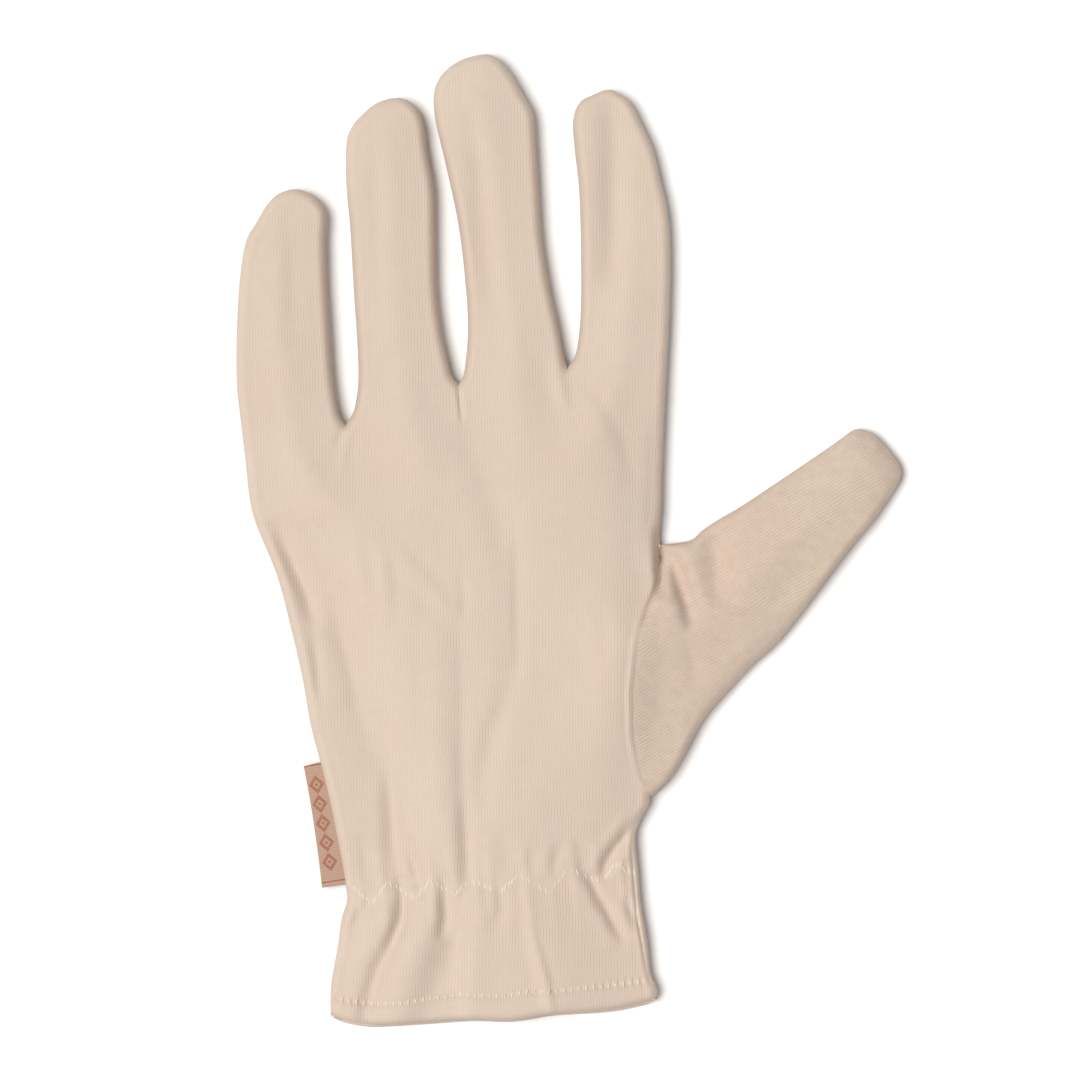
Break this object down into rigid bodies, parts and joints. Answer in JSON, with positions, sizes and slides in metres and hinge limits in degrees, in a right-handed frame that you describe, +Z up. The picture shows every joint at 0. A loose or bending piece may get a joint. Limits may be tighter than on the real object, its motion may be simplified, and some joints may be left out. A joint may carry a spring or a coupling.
{
  "type": "cotton glove",
  "caption": "Thin knitted cotton glove for a left hand, lying flat on its palm, with closed fingers, a sewn-in thumb, an elastic-gathered wrist and a hemmed cuff.",
  "frame": {"origin": "on the surface that the glove lies on, under the middle of its outline", "axes": "+Y from the cuff towards the fingertips, +X towards the thumb's side, +Z up, out of the back of the hand"},
  "size_m": [0.1664, 0.2414, 0.0128],
  "materials": {
    "cotton_jersey": "undyed knitted cotton, matt and slightly fuzzy",
    "elastic_tape": "flat white elastic tape",
    "woven_label": "dense woven ribbon, slightly glossy"
  },
  "bodies": {
    "root": {"back": "cotton_jersey", "palm": "cotton_jersey", "thumb": "cotton_jersey", "wrist_elastic": "elastic_tape", "side_label": "woven_label"}
  },
  "joints": []
}
